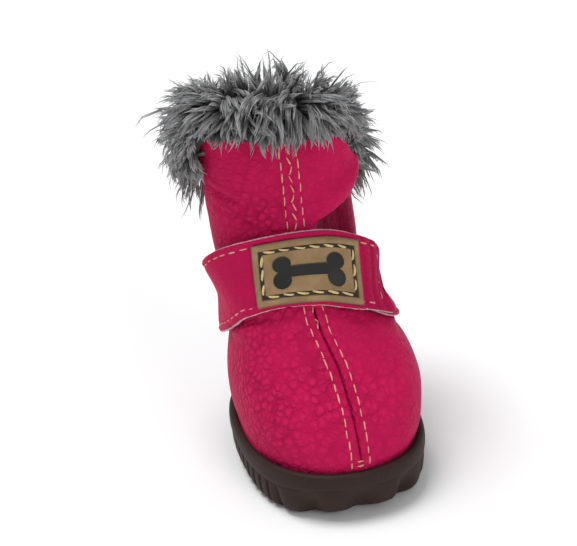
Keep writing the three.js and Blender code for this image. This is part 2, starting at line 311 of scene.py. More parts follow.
class Finish:  # one material and its nodes
    def __init__(self, name, constants):
        self.material = bpy.data.materials.new(name)
        self.material.use_nodes = True
        self.tree = self.material.node_tree
        self.shader = self.tree.nodes["Principled BSDF"]
        for socket, value in constants.items():
            self.shader.inputs[socket].default_value = value
        self.place = self.add("ShaderNodeTexCoord", {}, {}, "Object")

    def add(self, kind, settings, sockets, out=0):
        made = self.tree.nodes.new(kind)
        for name, value in settings.items():
            setattr(made, name, value)
        for name, value in sockets.items():
            if isinstance(value, Wire):
                self.tree.links.new(value.socket, made.inputs[name])
            else:
                made.inputs[name].default_value = value
        return Wire(self, made.outputs[out])

    def maths(self, operation, a, b):
        return self.add("ShaderNodeMath", {"operation": operation}, {0: a, 1: b})

    def between(self, value, low, high):
        return self.add("ShaderNodeMapRange", {"interpolation_type": "SMOOTHSTEP"},
                        {"Value": value, "From Min": low, "From Max": high})

    def mixed(self, share, a, b):
        return self.add("ShaderNodeMix", {"data_type": "RGBA"}, {0: share, 6: a, 7: b}, 2)

    def noise(self, size, detail, rough=0.5, out="Fac"):
        sockets = {"Vector": self.place, "Scale": 1 / size, "Detail": detail, "Roughness": rough}
        return self.add("ShaderNodeTexNoise", {}, sockets, out)

    def cells(self, size, feature, place=None):
        return self.add("ShaderNodeTexVoronoi", {"feature": feature},
                        {"Vector": place or self.place, "Scale": 1 / size}, "Distance")

    def warped(self, size, amount):
        wobble = self.noise(size, 2.0, out="Color")
        half = (0.5, 0.5, 0.5)
        centred = self.add("ShaderNodeVectorMath", {"operation": "SUBTRACT"}, {0: wobble, 1: half})
        scaled = self.add("ShaderNodeVectorMath", {"operation": "SCALE"}, {0: centred, "Scale": amount})
        return self.add("ShaderNodeVectorMath", {"operation": "ADD"}, {0: self.place, 1: scaled})

    def stored(self, name):
        return self.add("ShaderNodeAttribute", {"attribute_name": name}, {}, "Fac")

    def bump(self, height, depth, strength):
        return self.add("ShaderNodeBump", {}, {"Height": height, "Distance": depth, "Strength": strength})

    def wear(self, **links):
        names = {"colour": "Base Color", "roughness": "Roughness", "normal": "Normal"}
        for key, value in links.items():
            self.tree.links.new(value.socket, self.shader.inputs[names[key]])
        return self.material


def tone(red, green, blue):
    return (red, green, blue, 1.0)


leatherLook = {
    "lit": tone(0.57, 0.011, 0.091),
    "shade": tone(0.45, 0.007, 0.063),
    # painted highlight: the lighter tone put on the pebble tops
    "high": tone(0.70, 0.024, 0.128),
    # painted shade: the dark tone put in the grooves between pebbles
    "deep": tone(0.22, 0.003, 0.026),
    # painted shade: the dark tone put in creases, in the hollow under the fold and on the strap's sides
    "fold": tone(0.14, 0.003, 0.018),
    "pebble": 2.0 * mm,
    "pebbleDepth": 0.5 * mm,
}


def makeLeather(name):
    f = Finish(name, {"IOR": 1.10})
    warpedPlace = f.warped(3.0 * mm, 1.2 * mm)
    edges = f.cells(leatherLook["pebble"], "DISTANCE_TO_EDGE", warpedPlace)
    domes = f.between(f.cells(leatherLook["pebble"], "SMOOTH_F1", warpedPlace), 0.75, 0.15)
    pebbles = f.between(edges, 0.0, 0.30) * 0.6 + domes * 0.4
    small = f.between(f.cells(leatherLook["pebble"] * 0.45, "DISTANCE_TO_EDGE", warpedPlace), 0.0, 0.4)
    where = f.between(f.noise(11 * mm, 2.0), 0.30, 0.60)
    strength = (where * 0.5 + 0.5) * (f.stored("pebbled") * 0.85 + 0.15)
    fine = f.noise(0.5 * mm, 4.0, 0.6)
    height = pebbles * strength + small * 0.16 + fine * 0.10
    patches = f.noise(18 * mm, 3.0)
    colour = f.mixed(f.between(patches, 0.25, 0.75) * 0.4, leatherLook["lit"], leatherLook["shade"])
    # painted highlight: the pebble tops are lightened in colour as if lit from above
    colour = f.mixed(domes * strength * 0.3, colour, leatherLook["high"])
    # painted shade: the grooves between pebbles are darkened in colour
    colour = f.mixed((1 - pebbles) * strength * 0.46, colour, leatherLook["deep"])
    # painted shade: darkened where the stored shade lies, in creases, the fold's hollow and the strap's
    # sides and ridges
    colour = f.mixed(f.stored("paintedShade"), colour, leatherLook["fold"])
    # painted shade: the open seam's slit is painted nearly black
    colour = f.mixed(f.stored("slit"), colour, tone(0.16, 0.002, 0.021))
    # pale specks near the sole: partly real scuffs, partly painted glints where the grain catches light
    scuffAndGlint = f.between(f.noise(1.1 * mm, 4.0, 0.75), 0.60, 0.72) * f.stored("scuffAndGlintZone")
    colour = f.mixed(scuffAndGlint * 0.6, colour, tone(0.72, 0.30, 0.40))
    roughness = 0.46 + patches * 0.12 + scuffAndGlint * 0.2
    normal = f.bump(height, leatherLook["pebbleDepth"], 1.0)
    return f.wear(colour=colour, roughness=roughness, normal=normal)


def makeRubber():
    f = Finish("dark rubber", {"IOR": 1.26})
    cloud = f.noise(9 * mm, 4.0, 0.6)
    dust = f.between(f.noise(2.2 * mm, 5.0, 0.7), 0.56, 0.8)
    colour = f.mixed(cloud, tone(0.023, 0.0115, 0.009), tone(0.040, 0.022, 0.018))
    colour = f.mixed(dust * 0.3, colour, tone(0.085, 0.068, 0.06))
    grain = f.noise(0.35 * mm, 3.0, 0.6)
    return f.wear(colour=colour, roughness=0.50 + cloud * 0.2 + dust * 0.1,
                  normal=f.bump(grain + cloud * 0.6, 0.06 * mm, 0.6))


def makePlush(name, root, tip):
    f = Finish(name, {"Specular IOR Level": 0.25, "Sheen Weight": 0.2, "Sheen Roughness": 0.6})
    share = f.stored("tipShare")
    tint = f.stored("tint")
    # painted shade: strands darken towards the root, for the shade deep in the pile
    colour = f.mixed(f.between(share, 0.1, 0.95), root, tip)
    colour = f.mixed(tint * 0.7, colour, tone(0.035, 0.035, 0.036))
    return f.wear(colour=colour, roughness=0.62 + tint * 0.15)


# painted shade: the backing under the pile, the lining and the insole bed are near black for the shade that
# lies there
def makePlushSkin():
    f = Finish("plush backing", {"Specular IOR Level": 0.1})
    tufts = f.noise(0.9 * mm, 4.0, 0.7)
    colour = f.mixed(tufts, tone(0.02, 0.02, 0.02), tone(0.10, 0.10, 0.10))
    return f.wear(colour=colour, roughness=0.9 + tufts * 0.05, normal=f.bump(tufts, 0.8 * mm, 0.9))


def makeCloth(name, dark, light):
    f = Finish(name, {"Specular IOR Level": 0.2, "Sheen Weight": 0.3})
    weave = f.cells(0.45 * mm, "F1")
    fuzz = f.noise(0.3 * mm, 4.0, 0.7)
    colour = f.mixed(weave * 0.8 + fuzz * 0.4, light, dark)
    return f.wear(colour=colour, roughness=0.8 + fuzz * 0.15, normal=f.bump(weave + fuzz, 0.15 * mm, 0.8))


def makeThread(name, light, dark):
    f = Finish(name, {"Specular IOR Level": 0.35, "Sheen Weight": 0.2})
    strand = f.noise(0.22 * mm, 3.0, 0.6)
    worn = f.noise(4 * mm, 2.0)
    colour = f.mixed(f.between(strand, 0.35, 0.7), dark, light)
    return f.wear(colour=f.mixed(f.between(worn, 0.45, 0.75) * 0.4, colour, dark),
                  roughness=0.5 + strand * 0.2, normal=f.bump(strand, 0.08 * mm, 0.8))


def makePatchLook(name, light, dark, rough):
    f = Finish(name, {"Specular IOR Level": 0.35})
    mottle = f.noise(5 * mm, 4.0, 0.6)
    fine = f.noise(0.4 * mm, 3.0, 0.6)
    colour = f.mixed(f.between(mottle, 0.3, 0.7), dark, light)
    colour = f.mixed(f.stored("rim"), colour, tone(0.10, 0.062, 0.03))
    ink = f.stored("ink")
    colour = f.mixed(ink, colour, tone(0.010, 0.009, 0.008))
    return f.wear(colour=colour, roughness=rough + fine * 0.15 - ink * 0.08,
                  normal=f.bump(fine + mottle * 0.5, 0.05 * mm, 0.6))


leatherFinish = makeLeather("pebbled leather")
rubberFinish = makeRubber()
# painted shade: the near-black root colour stands for the shade deep in the pile
furFinish = makePlush("grey pile", tone(0.018, 0.018, 0.019), tone(0.52, 0.52, 0.525))
furSkinFinish = makePlushSkin()
backingFinish = makeCloth("strap backing", tone(0.55, 0.32, 0.38), tone(0.86, 0.74, 0.76))
seamThread = makeThread("seam thread", tone(0.86, 0.54, 0.36), tone(0.62, 0.22, 0.15))
patchThread = makeThread("patch thread", tone(0.86, 0.72, 0.34), tone(0.55, 0.42, 0.16))
patchFinish = makePatchLook("tan patch", tone(0.36, 0.225, 0.105), tone(0.25, 0.155, 0.07), 0.5)
print("finishes made")


view = {
    "azimuth": -14.0,
    "elevation": 28.0,
    "roll": -4.0,
    "distance": 0.46,
    "target": (0.0, 0.0, 45.0),
    "middle": (-6.5, 1.0, 52.0),
    "lens": 118.0,
}


def makeView():
    target = Vector(shift + np.array(view["target"]) * mm)
    a, e = math.radians(view["azimuth"]), math.radians(view["elevation"])
    away = Vector((math.sin(a) * math.cos(e), -math.cos(a) * math.cos(e), math.sin(e)))
    lens = bpy.data.cameras.new("camera")
    lens.lens = view["lens"]
    lens.clip_start = 0.01
    camera = bpy.data.objects.new("camera", lens)
    bpy.context.scene.collection.objects.link(camera)
    place = target + away * view["distance"]
    aim = (Vector(shift + np.array(view["middle"]) * mm) - place).to_track_quat("-Z", "Y").to_matrix()
    camera.matrix_world = (Matrix.Translation(place) @ aim.to_4x4()
                           @ Matrix.Rotation(math.radians(view["roll"]), 4, "Z"))
    bpy.context.scene.camera = camera


stage = {  # in metres
    "half": 3.0,
    "aim": (0.0, 0.0, 0.04),
    "sky": 0.46,
    "lights": (
        {"name": "key softbox", "place": (-0.55, 0.15, 2.4), "size": 1.2, "power": 42.0},
        {"name": "front fill", "place": (0.7, -2.3, 1.5), "size": 1.2, "power": 15.0},
    ),
}


def areaLight(name, place, size, power):
    lamp = bpy.data.lights.new(name, "AREA")
    lamp.shape = "DISK"
    lamp.size = size
    lamp.energy = power
    holder = bpy.data.objects.new(name, lamp)
    bpy.context.scene.collection.objects.link(holder)
    holder.location = place
    holder.rotation_euler = (Vector(stage["aim"]) - Vector(place)).to_track_quat("-Z", "Y").to_euler()


def makeStage():
    half = stage["half"]
    mesh = bpy.data.meshes.new("floor")
    low = cadBounds[0][2] - 0.02 * mm
    mesh.from_pydata([(-half, -half, low), (half, -half, low), (half, half, low), (-half, half, low)],
                     [], [(0, 1, 2, 3)])
    floor = bpy.data.objects.new("floor", mesh)
    bpy.context.scene.collection.objects.link(floor)
    f = Finish("pale floor", {"Specular IOR Level": 0.2, "Roughness": 0.7})
    f.wear(colour=f.mixed(f.noise(0.4, 2.0), tone(0.915, 0.915, 0.92), tone(0.935, 0.935, 0.935)))
    mesh.materials.append(f.material)
    world = bpy.data.worlds.new("studio")
    world.use_nodes = True
    world.node_tree.nodes["Background"].inputs["Color"].default_value = tone(0.97, 0.98, 1.0)
    world.node_tree.nodes["Background"].inputs["Strength"].default_value = stage["sky"]
    bpy.context.scene.world = world
    bpy.context.scene.view_settings.view_transform = "Standard"
    for light in stage["lights"]:
        areaLight(**light)


makeView()
makeStage()
print("stage, camera and light made")


sole = {
    "around": 720,
    "toeSpring": 3.2,
    "heelSpring": 1.2,
    "archRise": 0.7,
    "lobeDepth": 2.3,
    "ribPitch": 3.5,
    "ribGroove": 0.85,
}

# the sole's side from its lower edge up over the lip and down inside it: height as a part of the
# lip's, how far in from the lip in mm, and how deep the ribs and the toe lobes are cut there
soleSide = (
    (0.015, 2.5, 0.8, 0.9), (0.05, 1.8, 0.95, 1), (0.10, 1.25, 1, 1), (0.17, 0.85, 1, 1),
    (0.26, 0.6, 1, 0.9), (0.36, 0.45, 1, 0.7), (0.46, 0.38, 1, 0.45), (0.54, 0.35, 1, 0.25),
    (0.585, 0.35, 0.7, 0.12), (0.61, 0.38, 0.15, 0.05), (0.63, 0.42, 0, 0), (0.65, 0.30, 0, 0),
    (0.68, 0.12, 0, 0), (0.74, 0.02, 0, 0), (0.84, 0.0, 0, 0), (0.92, 0.10, 0, 0),
    (0.97, 0.32, 0, 0), (1.0, 0.75, 0, 0), (1.005, 1.3, 0, 0), (0.99, 1.8, 0, 0),
    (0.95, 2.05, 0, 0), (0.80, 2.1, 0, 0),
)


def underside(y):
    length = boot["length"]
    toe = smooth(0.3 * length, 0.58 * length, -y) ** 1.3 * sole["toeSpring"]
    heel = smooth(0.42 * length, 0.56 * length, y) * sole["heelSpring"]
    arch = smooth(-0.16 * length, -0.06 * length, y) * (1 - smooth(0.1 * length, 0.2 * length, y))
    return toe + heel + arch * sole["archRise"]


def makeOutsole():
    angle = np.arange(sole["around"]) / sole["around"] * turn
    lip = boot["lipHeight"] + boot["lipRise"] * smooth(0.2, 1, np.cos(angle))
    turned = np.degrees(np.abs(np.where(angle > math.pi, angle - turn, angle)))
    outline = skin(angle, boot["lipHeight"], lipWall(angle))
    run = np.linalg.norm(np.roll(outline, -1, 0) - outline, axis=1)
    walked = np.concatenate([[0], np.cumsum(run)[:-1]])
    fromToe = np.minimum(walked, run.sum() - walked)
    firstRib = np.interp(50, turned[:360], fromToe[:360])
    phase = (fromToe - firstRib) / sole["ribPitch"]
    groove = sole["ribGroove"] * bell((phase - np.round(phase)) * sole["ribPitch"], 0.42)
    groove *= smooth(49, 52, turned)
    lobes = sole["lobeDepth"] * np.abs(np.cos(turned / 28 * math.pi)) ** 4 * (1 - smooth(40, 46, turned))
    shoulder = sole["lobeDepth"] * 0.8 * bell(turned - 50, 3.0)

    def row(level, inset, ribs, toes):
        out = lipWall(angle) - inset - groove * ribs - (lobes + shoulder * 0.5) * toes
        ring = skin(angle, boot["lipHeight"], out)
        low = underside(ring[:, 1])
        ring[:, 2] = low + (lip - low) * level
        return ring

    edge = row(0, 3.3, 0.5, 0.8)
    rings = []
    for share in (0.05, 0.2, 0.35, 0.5, 0.62, 0.74, 0.84, 0.92, 0.97):
        ring = edge * [share, share, 0]
        flute = lobes * smooth(0.45, 0.95, share)
        ring[:, 2] = underside(ring[:, 1]) + flute
        rings.append(ring)
    edge[:, 2] = underside(edge[:, 1]) + lobes
    rings.append(edge)
    for level, inset, ribs, toes in soleSide:
        rings.append(row(level, inset, ribs, toes))
    for share in (1.0, 0.6, 0.2):
        ring = skin(angle, boot["lipHeight"], -1.2) * [share, share, 0]
        ring[:, 2] = boot["soleFloor"]
        rings.append(ring)
    makePiece("outsole_rubber", stackPoints(rings), stackFaces(len(rings), sole["around"]), rubberFinish,
              replaced=["outsole"])


tread = {
    "pitch": 2.1,
    "radius": 0.85,
    "boneKnobs": (4.6, 1.7, 1.9),  # knob centre along and across, and radius
    "boneHalf": 1.2,
}


# the outline of a bone as points in order
def boneOutline():
    away, up, radius = tread["boneKnobs"]
    join = math.asin((tread["boneHalf"] - up) / radius)
    meet = math.asin(up / radius)
    top = np.linspace(math.pi - join, -meet, 30)
    upperKnob = np.stack([away + radius * np.cos(top), up + radius * np.sin(top)], -1)
    lowerKnob = (upperKnob * [1, -1])[::-1]
    right = np.concatenate([upperKnob, lowerKnob])
    outline = np.concatenate([right, -right])
    return np.concatenate([outline, outline[:1]])


def makeTread():
    studs = []
    for side in (-1, 1):
        for row in range(6):
            for k in range(6 - row):
                x = side * (boot["ballWidth"] * 0.5 - 6.2 - row * tread["pitch"] * 0.87)
                y = (k - (5 - row) / 2) * tread["pitch"] + 1.0
                studs.append((x, y))
    studs = np.array(studs)
    base = underside(studs[:, 1])
    t = np.array([-0.5, 0.15, 0.42, 0.55])
    line = np.stack([np.repeat(studs[:, :1], 4, 1), np.repeat(studs[:, 1:], 4, 1), base[:, None] - t], -1)
    radius = tread["radius"] * np.array([1.0, 0.95, 0.65, 0.05]) * np.ones((len(studs), 1))
    points = strandPoints(line, radius, np.array([0, 1.0, 0]), 12)
    makePiece("outsole_studs", points, strandFaces(len(studs), 3, 12), rubberFinish)
    outline = boneOutline()
    walked = np.concatenate([[0], np.cumsum(np.linalg.norm(np.diff(outline, axis=0), axis=1))])
    even = np.linspace(0, walked[-1], 160)
    x, y = (np.interp(even, walked, outline[:, k]) for k in range(2))
    path = np.stack([x, y, underside(y) - 0.05], -1)
    points = tubePoints(path[None], np.full((1, 160), 0.38), np.array([0, 0, 1.0]), 8)
    makePiece("outsole_bone", points, tubeFaces(1, 160, 8), rubberFinish)


makeOutsole()
makeTread()
print("outsole made")


strap = {
    "width": 17.5,
    "leather": 0.85,
    "backing": 0.40,
    "front": 57.6,
    "drop": 26.0,
    "skew": 2.4,
    "flare": {"right": 0.25, "left": 1.25},  # its middle stands out this far past its lower edge
    "start": math.radians(39),
    "end": math.radians(70) + turn,
    "upperCorner": 5.0,
    "lowerCorner": 1.6,
    "ridges": (39, 49, 60),  # degrees round, where its lap is creased
    "ridgeDepth": 0.35,
    "rowInset": 1.6,
    "patchSpan": math.radians(33),  # no stitches within this angle of the patch's middle
    "stitch": {"long": 2.4, "gap": 0.7, "radius": 0.18, "lift": 0.12, "skip": 0.03},
    "tipStitch": {"long": 2.0, "gap": 0.8, "radius": 0.15, "lift": 0.12},
}


def strapLevel(angle):
    return strap["front"] - strap["drop"] * (0.5 - 0.5 * np.cos(angle)) - strap["skew"] * np.sin(angle)


def strapFlare(angle):
    right, left = strap["flare"]["right"], strap["flare"]["left"]
    return (right + (left - right) * smooth(-0.3, 0.9, -np.sin(angle))) * smooth(-1, -0.2, np.cos(angle))


# a point on the strap: across is up the strap's width, out is away from the leather under it
def bandPoint(angle, across, out):
    angle, across, out = np.broadcast_arrays(angle, across, out)
    nudge = 0.02
    level = strapLevel(angle)
    along = (skin(angle + nudge, level, out) - skin(angle - nudge, level, out)) / (2 * nudge)
    climb = (skin(angle, level + 1, out) - skin(angle, level - 1, out)) / 2
    fall = (strapLevel(angle + nudge) - strapLevel(angle - nudge)) / (2 * nudge)
    run = along + climb * fall[..., None]
    shear = -(climb * run).sum(-1) / (along * run).sum(-1)
    step = across / np.linalg.norm(climb + along * shear[..., None], axis=-1)
    flare = strapFlare(angle) * (1 + 2 * across / strap["width"])
    return skin(angle + shear * step, level + step, out + flare)


def strapStandOff(angle):
    fromTip = np.degrees(strap["end"] - angle)
    return 0.55 + 1.3 * smooth(0, 1, -np.cos(angle)) + 1.7 * (1 - smooth(31.5, 60, fromTip))


upper = {
    "around": 351,
    "rows": 190,
    "foot": 6.0,
    "slitHeel": 7.5,
    "slitCollar": 15.0,
    "slitFoot": 15.0,
}

seam = {
    "heights": (12.0, 19.0, 25.0, 31.0, 37.0, 50.0, 90.0),
    "offsets": (0.5, 0.15, -0.3, -0.35, -0.15, -0.5, -1.0),  # to the +X side of the middle, there
    "opened": (15.0, 18.0),  # it opens as a slit above these heights
    "closed": (50.0, 54.0),
    "groove": 0.9,
    "ridge": 0.42,
    "trough": 0.26,
    "vampRows": 2.2,  # how far the stitch rows lie from it
    "shaftRows": 2.0,
    "strapGap": 8.3,  # the rows stop this far from the strap's middle
    "top": 89.5,
    "stitch": {"long": 2.5, "gap": 0.3, "radius": 0.19, "lift": 0.17, "side": 0.15, "skip": 0.02},
    "crossStitch": {"gap": 0.02, "radius": 0.17, "lift": 0.3},
}

# creases and folds: middle as angle in degrees and height in mm, length and width in mm,
# lean in degrees from level, depth (a negative depth is a ridge)
creases = (
    {"angle": -30, "height": 71.0, "long": 9, "wide": 1.1, "lean": -24, "depth": 0.55},
    {"angle": -44, "height": 68.5, "long": 11, "wide": 1.2, "lean": -16, "depth": 0.6},
    {"angle": -20, "height": 73.5, "long": 7, "wide": 0.9, "lean": -34, "depth": 0.4},
    {"angle": -58, "height": 74.0, "long": 12, "wide": 1.8, "lean": -8, "depth": 0.6},
    {"angle": -70, "height": 43.0, "long": 12, "wide": 1.6, "lean": 24, "depth": 0.8},
    {"angle": -48, "height": 45.0, "long": 12, "wide": 1.8, "lean": 14, "depth": 0.6},
    {"angle": -80, "height": 37.0, "long": 14, "wide": 2.2, "lean": 20, "depth": 0.6},
    {"angle": 62, "height": 43.0, "long": 14, "wide": 2.0, "lean": -20, "depth": 0.7},
    {"angle": 88, "height": 34.0, "long": 14, "wide": 2.4, "lean": -14, "depth": 0.6},
    {"angle": 120, "height": 50.0, "long": 16, "wide": 2.0, "lean": 40, "depth": 0.7},
    {"angle": -120, "height": 50.0, "long": 16, "wide": 2.0, "lean": -40, "depth": 0.7},
    {"angle": 128, "height": 66.0, "long": 12, "wide": 2.2, "lean": 0, "depth": 0.8},
    {"angle": -126, "height": 64.0, "long": 12, "wide": 2.2, "lean": 8, "depth": 0.8},
)

# the hollow between the strap and the lobe that hangs over it: angle in degrees, height of the
# lobe's lower edge, depth of the hollow
fold = np.array([
    (9, 66.6, 0.0),
    (16, 67.2, 2.2),
    (27, 68.2, 4.4),
    (42, 69.6, 5.2),
    (60, 71.6, 5.0),
    (74, 74.0, 2.6),
    (90, 76.0, 0.8),
    (125, 77.0, 0.0),
])


def seamX(height):
    middle = lastPoint(np.zeros_like(height), height)[..., 0]
    return middle + np.interp(height, seam["heights"], seam["offsets"])


def slitHalf(height):
    foot = upper["slitFoot"] + upper["slitHeel"]
    top = boot["collarHeight"] + 20
    t = np.clip((height - foot) / (top - foot), 0, 1)
    middle = upper["slitCollar"] * 0.75
    wide = (1 - t) ** 2 * upper["slitHeel"] + 2 * t * (1 - t) * middle + t * t * upper["slitCollar"]
    below = np.sqrt(np.clip(upper["slitHeel"] ** 2 - (foot - height) ** 2, 0, None))
    return np.where(height > foot, wide, np.where(height > upper["slitFoot"], below, 0.0))


# gentle waves from a few sines, the same every run
def waves(angle, height, seed, size):
    rng = np.random.default_rng(seed)
    total = 0
    for k in range(6):
        turns = rng.integers(2, 9)
        climb = rng.uniform(-1, 1) / size
        total = total + np.sin(turns * angle + climb * height + rng.uniform(0, turn)) / 6
    return total


def seamShare(height):  # how far the seam has opened
    return smooth(*seam["opened"], height) * (1 - smooth(*seam["closed"], height))


def leatherRelief(angle, height):
    point = skin(angle, height)
    fromSeam = point[..., 0] - seamX(height)
    front = smooth(0.1, 0.35, np.cos(angle))
    edge = np.abs(fromSeam)
    relief = (-seam["groove"] * bell(fromSeam, 0.27) * seamShare(height)
              + seam["ridge"] * (1 - smooth(1.9, 3.3, edge))
              - seam["trough"] * bell(edge - seam["vampRows"], 0.36)) * front
    relief = relief + 0.35 * waves(angle, height, 3, 9.0) + 0.16 * waves(angle * 2, height, 8, 3.0)
    half = column("half", height / boot["collarHeight"]) * boot["ballWidth"]
    for c in creases:
        across = np.radians((np.degrees(angle) - c["angle"] + 180) % 360 - 180) * half
        up = height - c["height"]
        lean = math.radians(c["lean"])
        along = across * math.cos(lean) + up * math.sin(lean)
        off = -across * math.sin(lean) + up * math.cos(lean)
        relief = relief - c["depth"] * bell(along, c["long"] / 2) * bell(off, c["wide"] / 2)
        rim = bell(along, c["long"] / 2) * bell(off - c["wide"], c["wide"] / 2)
        relief = relief + 0.35 * c["depth"] * rim
    turned = np.degrees(angle)
    edge = np.interp(turned, fold[:, 0], fold[:, 1])
    depth = np.interp(turned, fold[:, 0], fold[:, 2])
    under = smooth(-0.2, 1.5, edge - height) * smooth(46, 55, height)
    relief = relief - depth * under + depth * 0.30 * bell(height - edge - 3.2, 3.2)
    belt = bell(height - strapLevel(angle), 6.0)
    relief = relief * (1 - 0.7 * belt * (1 - under))
    pinch = bell(height - boot["lipHeight"] - 1.2, 1.6)
    return relief - 0.35 * pinch


# a smooth surface that lies under all of the relief
def innerRelief(angle, height):
    turned = np.degrees(angle)
    edge = np.interp(turned, fold[:, 0], fold[:, 1])
    near = [np.interp(turned + step, fold[:, 0], fold[:, 2]) for step in (-6, 0, 6)]
    return -0.5 - np.max(near, axis=0) * smooth(37, 45, height) * (1 - smooth(1.5, 8, height - edge))


# the edges of the back slit as angles, on the +X side (1) and the -X side (-1)
def slitEdge(height, side, room=0.0):
    rise = height / boot["collarHeight"]
    away = slitHalf(height) + room - side * column("lean", rise)
    share = np.clip(away / (column("half", rise) * boot["ballWidth"]), 0.002, 1)
    return side * (math.pi - np.arcsin(share ** (column("square", rise) / 2)))


def upperGrid(share, swing):
    height = upper["foot"] + (wallTop(swing * math.pi) + 1.5 - upper["foot"]) * share
    angle = np.where(swing > 0, swing * slitEdge(height, 1), -swing * slitEdge(height, -1))
    level = np.maximum(height, boot["lipHeight"])
    rise = level / boot["collarHeight"]
    offset = np.interp(level, seam["heights"], seam["offsets"])
    share = np.abs(offset) / (column("half", rise) * boot["ballWidth"])
    bent = np.sign(offset) * np.arcsin(share ** (column("square", rise) / 2))
    return angle + bent * (1 - smooth(0, 0.4, np.abs(swing))), height, level


# where the grain is coarse: angle in degrees, height, and how far it reaches each way, and how much
pebbleFields = (
    (-28, 38, 38, 16, 1.0),
    (-60, 26, 40, 14, 0.7),
    (-30, 70, 26, 7, 0.9),
    (40, 24, 30, 9, 0.22),
)


def makeUpper():
    share = np.linspace(0, 1, upper["rows"])[:, None]
    swing = np.linspace(-1, 1, upper["around"])[None, :]
    swing = swing * (0.34 + 0.66 * np.abs(swing) ** 1.1)  # closer columns by the seam
    angle, height, level = upperGrid(share, swing)
    relief = leatherRelief(angle, level) - 1.5 * (1 - smooth(7.5, 11, height))
    rim = smooth(0, 1, np.minimum((1 - share) * 60, 1))
    outer = skin(angle, level, relief - 0.55 * (1 - rim), level=height)
    fromSeam = skin(angle, level)[..., 0] - seamX(level)
    # painted shade along the open slit of the front seam
    slit = bell(fromSeam, 0.16) * seamShare(level) * (np.cos(angle) > 0)
    # painted shade: the leather is darkened in colour where it sinks into creases and into the hollow under
    # the fold
    paintedShade = 0.8 * smooth(0.9, 2.8, -relief) * (height > boot["lipHeight"] + 4)
    # where the pale specks go, mostly a band just above the sole: partly scuffs, partly painted glints
    scuffAndGlintZone = np.maximum(bell(height - boot["lipHeight"] - 1.6, 1.5), 0.04) * (np.cos(angle) > -0.6)
    pebbled = 0.25 + sum(
        amount * bell(np.degrees(angle) - middle, wide) * bell(level - high, tall)
        for middle, high, wide, tall, amount in pebbleFields)
    blank = np.zeros((24, upper["around"]))

    share = np.linspace(1, 0, 24)[:, None]
    angle, height, level = upperGrid(share, swing)
    inset = boot["leather"] + 1.2 * (1 - smooth(7.5, 11, height))
    inner = skin(angle, level, innerRelief(angle, level) - inset, level=height)
    rings = np.concatenate([outer, inner]).transpose(1, 0, 2)

    def spread(values):
        return np.concatenate([np.concatenate([values, blank]).T.ravel(), [0, 0]])

    makePiece("leather_upper", stackPoints(rings), stackFaces(*rings.shape[:2]), leatherFinish,
              replaced=["upper"],
              attributes={"slit": spread(slit), "paintedShade": spread(paintedShade), "scuffAndGlintZone": spread(scuffAndGlintZone),
                          "pebbled": spread(np.clip(pebbled, 0, 1))})


makeUpper()
print("upper made")


# evenly spaced stitches along a path of points, as tubes that dip into the leather at each end
def stitchRow(path, out, long, gap, radius, lift, loose=0.08, skip=0.0, side=0.0):
    step = np.linalg.norm(np.diff(path, axis=0), axis=1)
    walked = np.concatenate([[0], np.cumsum(step)])
    count = int((walked[-1] - gap) / (long + gap))
    starts = gap + np.arange(count) * (walked[-1] - gap) / count
    starts = starts[dice.random(count) >= skip]
    count = len(starts)
    long = long * (1 + loose * dice.standard_normal(count))
    t = np.linspace(0, 1, 7)
    places = starts[:, None] + long[:, None] * t
    centre = np.stack([np.interp(places, walked, path[:, k]) for k in range(3)], -1)
    normal = np.stack([np.interp(places, walked, out[:, k]) for k in range(3)], -1)
    normal /= np.linalg.norm(normal, axis=-1, keepdims=True)
    along = np.gradient(centre, axis=1)
    along /= np.linalg.norm(along, axis=-1, keepdims=True)
    sideways = np.cross(along, normal)
    arch = np.sin(math.pi * t) ** 0.6
    slant = (t - 0.5) * side + loose * dice.standard_normal(count)[:, None]
    centre = centre + normal * ((lift + radius * 0.6) * arch - radius)[:, None]
    centre = centre + sideways * slant[..., None]
    size = radius * (0.55 + 0.45 * arch) * (1 + 0.12 * dice.standard_normal(count))[:, None]
    return centre, size, normal


def makeStitches(name, rows, material):
    centre, size, normal = (np.concatenate([row[k] for row in rows]) for k in range(3))
    points = tubePoints(centre, size, normal, 8)
    makePiece(name, points, tubeFaces(len(centre), centre.shape[1], 8), material)


# a line on the leather given by its distance from the seam and its heights
def leatherLine(away, low, high, count=160):
    height = np.linspace(low, high, count)
    x = seamX(height) + away
    angle = np.zeros(count)
    for _ in range(12):
        here = lastPoint(angle, height)[:, 0]
        slope = (lastPoint(angle + 0.01, height)[:, 0] - here) / 0.01
        angle = angle + (x - here) / np.maximum(slope, 4.0)
    point = skin(angle, height, leatherRelief(angle, height))
    return point, skinNormal(angle, height)


# stitches over the seam: from and to which height, how far apart, half their width and height
crossRows = (
    {"low": 67.0, "high": 88.0, "pitch": 2.3, "wide": 0.42, "tall": 1.1, "leans": (1, -1, -1)},  # shaft
    {"low": 15.2, "high": 17.2, "pitch": 1.1, "wide": 1.0, "tall": 0.1, "leans": (1, -1)},  # toe bars
)


def crossOver(level, wide, tall, lean):
    t = np.linspace(-wide, wide, 12)
    heights = level + t / wide * tall * lean
    path = []
    for away, height in zip(t, heights):
        path.append(leatherLine(away, height, height + 0.01, 2)[0][0])
    out = leatherLine(0.0, level, level + 0.01, 12)[1]
    return stitchRow(np.array(path), out, long=2 * math.hypot(wide, tall) * 0.9, **seam["crossStitch"])


